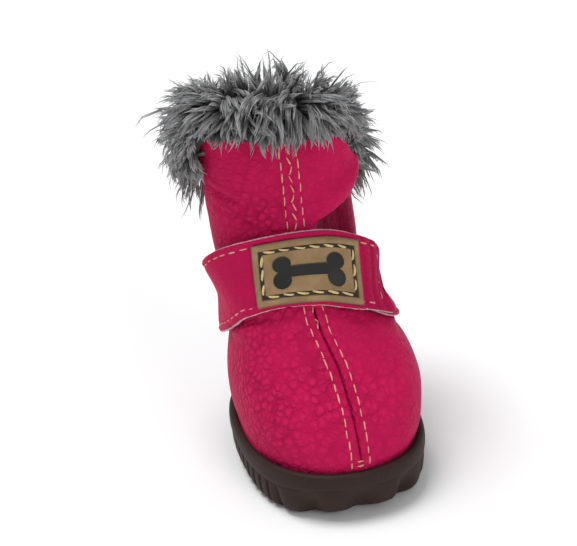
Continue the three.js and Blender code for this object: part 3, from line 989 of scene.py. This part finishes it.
def makeSeamStitches():
    rows = []
    gap = seam["strapGap"]
    for side, low in ((-1, 13.6), (1, 14.4)):
        for away, bottom, top in ((seam["vampRows"], low, strapLevel(0.0) - gap),
                                  (seam["shaftRows"], strapLevel(0.0) + gap, seam["top"])):
            path, out = leatherLine(side * away, bottom, top)
            rows.append(stitchRow(path, out, **seam["stitch"]))
    for row in crossRows:
        for k, level in enumerate(np.arange(row["low"], row["high"], row["pitch"])):
            rows.append(crossOver(level, row["wide"], row["tall"], row["leans"][k % len(row["leans"])]))
    for level in (45.0, 48.2):  # crosses below the strap
        for lean in (-1, 1):
            rows.append(crossOver(level, 0.5, 1.0, lean))
    # bar tack over the foot of the back slit
    for away in np.arange(-2.1, 2.2, 0.6):
        t = np.linspace(0, 1, 12)
        height = upper["slitFoot"] + 0.9 - 2.2 * t
        angle = math.pi + (away + 0.25 * (t - 0.5)) / (0.5 * boot["ballWidth"])
        path = skin(angle, height, leatherRelief(angle - turn, height))
        rows.append(stitchRow(path, skinNormal(angle, height), long=2.0, **seam["crossStitch"]))
    makeStitches("seam_stitches", rows, seamThread)


makeSeamStitches()
print("seam stitches made")


# half widths at a distance from the tip, with its corners rounded
def strapEdges(fromTip):
    def cut(radius):
        away = np.clip(fromTip, 0, radius)
        return radius - np.sqrt(np.clip(radius**2 - (radius - away) ** 2, 0, None))

    half = strap["width"] / 2
    return -half + cut(strap["lowerCorner"]), half - cut(strap["upperCorner"])


def strapRun(angle):
    fine = np.linspace(strap["start"], strap["end"], 500)
    path = bandPoint(fine, 0.0, strapStandOff(fine))
    run = np.concatenate([[0], np.cumsum(np.linalg.norm(np.diff(path, axis=0), axis=1))])
    return np.interp(angle, fine, run[-1] - run)


def strapSheet(name, columns, rows, low, high, spread, ragged, material):
    share = np.linspace(0, 1, columns)
    share = 1 - (1 - share) ** 1.5
    angle = (strap["start"] + (strap["end"] - strap["start"]) * share)[:, None]
    fromTip = strapRun(angle)
    bottom, top = strapEdges(fromTip + spread * 0.5)
    v = np.linspace(-1, 1, rows)[None, :]
    v = np.sign(v) * (1 - (1 - np.abs(v)) ** 1.4)
    fray = 0.16 * np.sin(share * 160)[:, None] + 0.12 * np.sin(share * 271 + 1.7)[:, None]
    hang = spread * np.where(v < 0, 1.6, 0.3 + 0.9 * smooth(0.3, 1, np.sin(angle)))
    across = (bottom + top) / 2 + (top - bottom) / 2 * v + v * (hang + ragged * fray * 0.2)
    under = strapStandOff(angle)
    turned = np.degrees(angle - turn)
    ridges = sum(strap["ridgeDepth"] * bell(turned - at + across * 0.5, 2.6) for at in strap["ridges"])
    puff = (0.10 * waves(angle * 3, across, 12, 5.0) - ridges) * (1 - ragged)
    # painted shade: the strap's sides and its ridges are darkened in colour
    shade = 0.26 * bell(turned - 52, 16) + 0.35 * ridges + 0.16 * bell(turned + 52, 26)
    edge = (1 - np.abs(v)) * (top - bottom) / 2
    rounding = 0.35 * (1 - smooth(0, 0.8, edge)) * (1 - ragged)
    trough = 0.22 * bell(edge - 1.7, 0.45) * (1 - ragged)
    over = bandPoint(angle, across, under + high + puff - rounding - trough)
    few = np.unique(np.linspace(0, rows - 1, 7).astype(int))
    below = bandPoint(angle, across[:, few], under + low)
    rings = np.concatenate([over, below[:, ::-1]], 1)
    paintedShade = np.zeros(rings.shape[:2])
    paintedShade[:, :rows] = shade
    return makePiece(name, stackPoints(rings), stackFaces(*rings.shape[:2]), material,
                     replaced=["ankle_strap"],
                     attributes={"paintedShade": np.concatenate([paintedShade.ravel(), [0, 0]])})


def makeStrap():
    strapSheet("strap_leather", 460, 40, strap["backing"], strap["backing"] + strap["leather"], 0.0, 0.0,
               leatherFinish)
    strapSheet("strap_backing", 460, 12, 0.0, strap["backing"] + 0.15, 0.16, 1.0, backingFinish)
    rows = []
    thick = strap["backing"] + strap["leather"]
    half = strap["width"] / 2 - strap["rowInset"]

    def bandLine(angle, across):
        lift = strapStandOff(angle) + thick - 0.24
        path = bandPoint(angle, across, lift)
        out = bandPoint(angle, across, lift + 1) - path
        return path, out / np.linalg.norm(out, axis=-1, keepdims=True)

    runs = ((strap["start"] + 1.1, turn - strap["patchSpan"]),
            (turn + strap["patchSpan"], strap["end"] - 0.24))
    for level in (-half, half):
        for start, end in runs:
            line = bandLine(np.linspace(start, end, 400), np.full(400, level))
            rows.append(stitchRow(*line, **strap["stitch"]))
    # the row across the tip, round its upper corner
    t = np.linspace(0, 1, 60)
    tip = strap["end"] - 0.115
    across = half - 0.9 - t * (2 * half - 1.4)
    angle = tip - 0.16 * (1 - smooth(0.0, 0.35, t)) ** 1.5
    rows.append(stitchRow(*bandLine(angle, across), **strap["tipStitch"]))
    makeStitches("strap_stitches", rows, seamThread)


makeStrap()
print("strap made")


patch = {
    "length": 26.2,
    "taper": 0.07,
    "skew": 0.05,
    "height": 15.4,
    "thickness": 1.2,
    "border": 2.1,
    "channel": 0.95,
    "bevel": 0.45,
    "groove": 0.32,
    "motif": 0.42,
    "stitch": {"long": 2.7, "gap": 0.6, "radius": 0.29, "lift": 0.3, "side": 0.5, "loose": 0.07},
}


def boneShape(x, y):  # distance outside a bone lying along x
    x, y = np.abs(x), np.abs(y)
    knob = np.hypot(x - 6.3, y - 1.95) - 2.15
    shaft = np.maximum(x - 6.3, y - 1.45)
    return np.minimum(knob, shaft)


def patchPoint(x, y, out):  # x along the strap from the patch's middle, in mm
    x, y, out = np.broadcast_arrays(x, y, out)
    x = x * (1 + patch["taper"] * y / patch["height"]) - patch["skew"] * y
    levels = np.linspace(-9, 9, 9)
    fine = np.radians(np.linspace(-45, 45, 181)) + turn
    thick = strap["leather"] + strap["backing"]
    angles = []
    for level in levels:
        path = bandPoint(fine, level, strapStandOff(fine) + thick)
        run = np.concatenate([[0], np.cumsum(np.linalg.norm(np.diff(path, axis=0), axis=1))])
        angles.append(np.interp(x + np.interp(turn, fine, run), run, fine))
    place = (y + 9) / 18 * 8
    low = np.clip(np.floor(place).astype(int), 0, 7)
    share = place - low
    angles = np.stack(angles)
    below = np.take_along_axis(angles, low[None], 0)[0]
    above = np.take_along_axis(angles, low[None] + 1, 0)[0]
    angle = below * (1 - share) + above * share
    return bandPoint(angle, y, strapStandOff(angle) + thick + out)


def makePatch():
    half, tall = patch["length"] / 2, patch["height"] / 2
    x = np.linspace(-half, half, 176)[:, None]
    y = np.linspace(-tall, tall, 106)[None, :]
    inside = np.minimum(half - np.abs(x), tall - np.abs(y))
    bevel = patch["bevel"] * (1 - smooth(0, 0.9, inside))
    channel = np.abs(inside - patch["border"]) - patch["channel"] / 2
    groove = patch["groove"] * (1 - smooth(-0.22, 0.12, channel))
    bone = boneShape(x, y)
    motif = patch["motif"] * (1 - smooth(-0.25, 0.15, bone))
    wobble = 0.05 * np.sin(x * 0.9) * np.cos(y * 0.7)
    out = patch["thickness"] - 0.15 - bevel - groove + motif + wobble
    top = patchPoint(x, y, out)
    frameInk = 1 - smooth(-0.2, 0.02, np.abs(channel + 0.3) - 0.42)
    ink = np.maximum(1 - smooth(-0.12, 0.06, bone), 0.96 * frameInk)
    rim = (1 - smooth(0.0, 0.5, inside)) * 0.6
    # the underside, a little inside the edge
    low = patchPoint(x * 0.99, y * 0.99, 0.02)
    count = top.shape[0] * top.shape[1]
    points = np.concatenate([top.reshape(-1, 3), low.reshape(-1, 3)])
    faces = sheetFaces(*top.shape[:2])
    makePiece("strap_patch_plate", points, faces, patchFinish, replaced=["strap_patch"],
              attributes={"ink": np.concatenate([ink.ravel(), np.zeros(count)]),
                          "rim": np.concatenate([rim.ravel(), np.ones(count)])})
    rows = []
    a, b = half - patch["border"] - 0.12, tall - patch["border"] - 0.12
    for ends in (((-a, b), (a, b)), ((a, b), (a, -b)), ((a, -b), (-a, -b)), ((-a, -b), (-a, b))):
        t = np.linspace(0, 1, 120)
        px = ends[0][0] + (ends[1][0] - ends[0][0]) * t
        py = ends[0][1] + (ends[1][1] - ends[0][1]) * t
        path = patchPoint(px, py, patch["thickness"] - 0.3)
        out = patchPoint(px, py, patch["thickness"] + 0.7) - path
        rows.append(stitchRow(path, out, **patch["stitch"]))
    makeStitches("patch_stitches", rows, patchThread)


makePatch()
print("patch made")


cuff = {
    "locks": 2600,
    "tufts": 130,  # locks lean together in tufts
    "length": 8.4,
    "around": 160,
}

# the pile of the cuff and the gusset: "stray" is how far tufts, locks and strands leave the comb
pile = {
    "tuftStray": 0.32,
    "lockStray": 0.16,
    "strandStray": 0.10,
    "tuftBend": 0.16,
    "lockBend": 0.10,
    "lockLengths": 0.2,
    "strandLengths": 0.16,
    "longShare": 0.03,
    "longReach": 1.3,
    "gather": 0.9,  # how far a lock's strands meet at its tip
    "bulge": 0.30,
    "rootDepth": 0.6,
    "taper": (1.0, 0.95, 0.62, 0.06),  # a strand's thickness from root to tip
}

# the cuff's backing: out from the leather and up from the top edge, in mm, over the top and down
cuffRows = np.array([
    (-2.9, -5.0),
    (-3.6, 1.5),
    (-3.2, 6.5),
    (-1.2, 8.4),
    (1.6, 7.9),
    (3.6, 5.2),
    (4.2, 1.4),
    (3.5, -2.6),
    (1.9, -5.2),
    (0.9, -4.6),
    (0.5, -1.0),
])


# a point on the smooth curve through those rows
def cuffPoint(angle, share):
    place = np.asarray(share, float) * (len(cuffRows) - 1)
    i = np.clip(np.floor(place).astype(int), 0, len(cuffRows) - 2)
    t = (place - i)[..., None]
    last = len(cuffRows) - 1
    a, b = cuffRows[np.maximum(i - 1, 0)], cuffRows[i]
    c, d = cuffRows[i + 1], cuffRows[np.minimum(i + 2, last)]
    both = 0.5 * (2 * b + (c - a) * t + (2 * a - 5 * b + 4 * c - d) * t**2 + (3 * b - a - 3 * c + d) * t**3)
    out, rise = both[..., 0], both[..., 1]
    front = smooth(0.0, 0.6, np.cos(angle))
    side = smooth(0.1, 0.95, np.sin(angle)) * smooth(-0.6, 0.1, np.cos(angle))
    left = smooth(0.1, 0.95, -np.sin(angle))
    slim = np.maximum(0.18 * front, np.maximum(0.95 * side, 0.36 * left))
    out = np.where(out > -1, -1 + (out + 1) * (1 - slim), out)
    rise = np.where(rise < 0, rise * (1 - 0.95 * front), rise * (1 - 0.3 * side))
    top = wallTop(angle)
    return skin(angle, top, out, level=top + rise)


def surfaceFrames(point, u, v, side=1):
    nudge = 0.004
    here = point(u, v)
    alongU = point(u + nudge, v) - point(u - nudge, v)
    alongV = point(u, np.clip(v + nudge, 0, 1)) - point(u, np.clip(v - nudge, 0, 1))
    normal = np.cross(alongU, alongV)
    area = np.linalg.norm(normal, axis=-1)
    along = alongV / np.linalg.norm(alongV, axis=-1, keepdims=True)
    return here, side * normal / area[:, None], along, area


# roots spread evenly over part of a surface
def scatter(point, count, uRange, vRange):
    u = dice.uniform(*uRange, count * 4)
    v = dice.uniform(*vRange, count * 4)
    area = surfaceFrames(point, u, v)[3]
    keep = dice.random(len(u)) < area / np.quantile(area, 0.95)
    return u[keep][:count], v[keep][:count]


# which of the places lies nearest to each point
def nearest(places, points):
    tree = kdtree.KDTree(len(places))
    for k, place in enumerate(places):
        tree.insert(place, k)
    tree.balance()
    return np.array([tree.find(point)[1] for point in points])


# locks of pile, leaning together in tufts: root, direction, length, bend and shade of each
def layLocks(point, count, uRange, vRange, comb, length, side, upward):
    u, v = scatter(point, count, uRange, vRange)
    centre, normal, down, _ = surfaceFrames(point, u, v, side)
    lay, lift = comb(u, v)
    tufts = point(*scatter(point, cuff["tufts"], uRange, vRange))
    family = nearest(tufts, centre)

    def strayed(tuftShare, lockShare):
        shared = tuftShare * dice.standard_normal((len(tufts), 3))[family]
        return shared + lockShare * dice.standard_normal((len(u), 3))

    way = normal * lift[:, None] + down * lay[:, None] + strayed(pile["tuftStray"], pile["lockStray"])
    way += np.array([0, 0, upward])
    way /= np.linalg.norm(way, axis=1, keepdims=True)
    reach = length(u, v) * np.exp(pile["lockLengths"] * np.clip(dice.standard_normal(len(u)), -2, 1.3))
    reach *= np.where(dice.random(len(u)) < pile["longShare"], pile["longReach"], 1)
    shade = 0.5 * dice.random(len(u)) + 0.5 * dice.random(len(tufts))[family]
    bend = strayed(pile["tuftBend"], pile["lockBend"]) * reach[:, None]
    return centre, way, reach, bend, shade


# tapering strands, each gathered to the tip of the nearest lock
def growPile(name, point, count, locks, uRange, vRange, comb, length, clear,
             thick=0.17, side=1, upward=0.0):
    centre, way, reach, bend, shade = layLocks(point, locks, uRange, vRange, comb, length, side, upward)
    u, v = scatter(point, count, uRange, vRange)
    keep = clear(u, v)
    u, v = u[keep], v[keep]
    root, rootNormal, _, _ = surfaceFrames(point, u, v, side)
    near = nearest(centre, root)
    count = len(root)
    size = (reach[near] * np.exp(pile["strandLengths"] * dice.standard_normal(count)))[:, None]
    own = way[near] + pile["strandStray"] * dice.standard_normal((count, 3))
    own /= np.linalg.norm(own, axis=1, keepdims=True)
    tip = (root + own * size) * (1 - pile["gather"])
    tip += (centre[near] + way[near] * size) * pile["gather"]
    bulge = rootNormal * pile["bulge"] * size + (tip - root) * 0.42
    middle = root + bulge + bend[near] + 0.2 * dice.standard_normal((count, 3))
    root = root - rootNormal * pile["rootDepth"]
    t = np.array([0, 0.42, 0.78, 1.0])[None, :, None]
    line = root[:, None] * (1 - t) ** 2 + 2 * middle[:, None] * t * (1 - t) + tip[:, None] * t**2
    radius = thick * np.array(pile["taper"]) * np.exp(0.2 * dice.standard_normal((count, 1)))
    points = strandPoints(line, radius, np.array([0.31, 0.42, 0.85]), 3)
    share = np.broadcast_to(np.repeat([0.0, 0.38, 0.75, 1.0], [3, 3, 3, 1]), (count, 10))
    tint = np.clip(0.65 * shade[near] + 0.35 * dice.random(count), 0, 1) ** 1.6
    tint = np.broadcast_to(tint[:, None], (count, 10))
    makePiece(name, points, strandFaces(count, 3, 3), furFinish,
              attributes={"tipShare": share, "tint": tint})


def makeCollar():
    angle = np.arange(cuff["around"]) / cuff["around"] * turn
    share = np.linspace(0, 1, 40)[:, None]
    rings = cuffPoint(angle[None, :] + 0 * share, share + 0 * angle[None, :])
    faces = [gridFaces(len(rings), cuff["around"], loopRows=True, loopColumns=True)]
    makePiece("collar_backing", rings, faces, furSkinFinish, replaced=["collar_fur"])

    def comb(u, v):
        over = smooth(0.10, 0.30, v) * 2 - 1
        lay = over * (0.5 + 0.45 * np.abs(over))
        lift = 0.50 + 0.22 * smooth(0.1, 0.9, -np.sin(u)) - 0.18 * smooth(0.2, 0.9, np.cos(u))
        right = smooth(0.1, 0.8, np.sin(u))
        return lay * (1 - 0.35 * right), lift - 0.15 * right

    def reach(u, v):
        front = smooth(0.1, 0.8, np.cos(u))
        right = smooth(0.1, 0.8, np.sin(u)) * smooth(-0.5, 0.0, np.cos(u))
        left = smooth(0.2, 0.9, -np.sin(u))
        share = 1 - 0.64 * right * (1 - 0.3 * front) - 0.3 * left
        share = share * (1 - 0.5 * smooth(0.0, 0.6, np.cos(u)) * smooth(0.38, 0.54, v))
        return cuff["length"] * share * (0.6 + 0.4 * smooth(0.1, 0.3, v))

    def aboveEdge(u, v):
        return v < 0.97 - 0.41 * smooth(0.0, 0.6, np.cos(u))

    # name, strands, share of the locks, reach round and over the cuff, how much it stands up
    pieces = (
        ("collar_pile_front", 11500, 0.5, (-0.5 * math.pi, 0.5 * math.pi), (0.27, 0.97), 0.0),
        ("collar_pile_back", 11500, 0.5, (0.5 * math.pi, 1.5 * math.pi), (0.31, 0.97), 0.0),
        ("collar_pile_inner", 8000, 0.5, (0, turn), (0.10, 0.30), 0.3),
    )
    for name, count, share, uRange, vRange, upward in pieces:
        growPile(name, cuffPoint, count, int(cuff["locks"] * share), uRange, vRange, comb, reach,
                 aboveEdge, thick=0.2, side=-1, upward=upward)


makeCollar()
print("collar made")


def gussetPlace(u, v):  # u across from 0 to 1, v from the foot (0) to the collar (1)
    low, high = upper["slitFoot"] + 0.6, wallTop(math.pi) - 1.0
    height = low + (high - low) * v
    right, left = slitEdge(height, 1, -0.3), slitEdge(height, -1, -0.3) + turn
    return right + (left - right) * u, height


def gussetPoint(u, v, out=None):
    angle, height = gussetPlace(u, v)
    away = 0.5 + 1.4 * (1 - (2 * u - 1) ** 2) * smooth(0, 0.2, v) if out is None else out
    return skin(angle, height, away)


def makeGusset():
    u = np.linspace(0, 1, 30)[None, :]
    v = np.linspace(0, 1, 60)[:, None]
    outer = gussetPoint(u + 0 * v, v + 0 * u)
    inner = gussetPoint(u + 0 * v, v + 0 * u, -3.2)
    points = np.concatenate([outer.reshape(-1, 3), inner.reshape(-1, 3)])
    makePiece("gusset_backing", points, sheetFaces(60, 30), furSkinFinish, replaced=["back_gusset"])

    def comb(u, v):
        return -0.75 + 0 * u, 0.6 - 0.25 * v

    def overStrap(u, v):
        angle, height = gussetPlace(u, v)
        return height - strapLevel(angle)

    def reach(u, v):
        above = overStrap(u, v) - strap["width"] / 2
        shorter = 2.4 * smooth(-0.5, 0.5, above) * (1 - smooth(1.5, 6, above))
        return (4.4 - shorter) * (0.5 + 0.5 * smooth(0, 0.25, v))

    def offStrap(u, v):
        past = overStrap(u, v)
        return (past > strap["width"] / 2 + 0.9) | (past < 0.4 - strap["width"] / 2)

    growPile("gusset_pile", gussetPoint, 7500, 900, (0.01, 0.99), (0.015, 0.99), comb, reach, offStrap)


def makeInside():
    angle = np.arange(150) / 150 * turn
    rings = []
    for share in np.linspace(0.04, 0.985, 34):
        height = boot["soleFloor"] + 0.5 + (wallTop(angle) - boot["soleFloor"]) * share
        level = np.maximum(height, boot["lipHeight"])
        lump = 0.25 * waves(angle * 3, height, 31, 2.5)
        follow = innerRelief((angle + math.pi) % turn - math.pi, level) - 2.9 + lump
        rings.append(skin(angle, level, follow, level=height))
    inner = np.array(rings)
    rings = []
    for share in np.linspace(0.985, 0.04, 34):
        height = boot["soleFloor"] + 0.5 + (wallTop(angle) - boot["soleFloor"]) * share
        level = np.maximum(height, boot["lipHeight"])
        follow = innerRelief((angle + math.pi) % turn - math.pi, level) - boot["leather"] - 0.5
        rings.append(skin(angle, level, follow, level=height))
    loop = np.concatenate([inner, np.array(rings)])
    # painted shade: the lining takes the near-black backing finish, dark as the shade inside the shaft
    makePiece("plush_lining", loop, [gridFaces(len(loop), 150, loopRows=True, loopColumns=True)],
              furSkinFinish)
    rings = []
    for rise, inset in ((0.35, 0.7), (1.4, 0.35), (2.3, 0.6), (2.7, 1.4)):
        ring = skin(angle, boot["lipHeight"], -boot["wall"] - inset)
        ring[:, 2] = boot["soleFloor"] + rise
        rings.append(ring)
    for share in (0.85, 0.7, 0.55, 0.4, 0.25, 0.1):
        ring = skin(angle, boot["lipHeight"], -boot["wall"] - 1.4) * [share, share, 1]
        ring[:, 2] = boot["soleFloor"] + 2.7 + 0.12 * waves(angle, share * 10, 5, 3.0)
        rings.append(ring)
    makePiece("insole_bed", stackPoints(rings), stackFaces(len(rings), 150), furSkinFinish,
              replaced=["insole"])


makeGusset()
makeInside()
print("gusset and inside made")
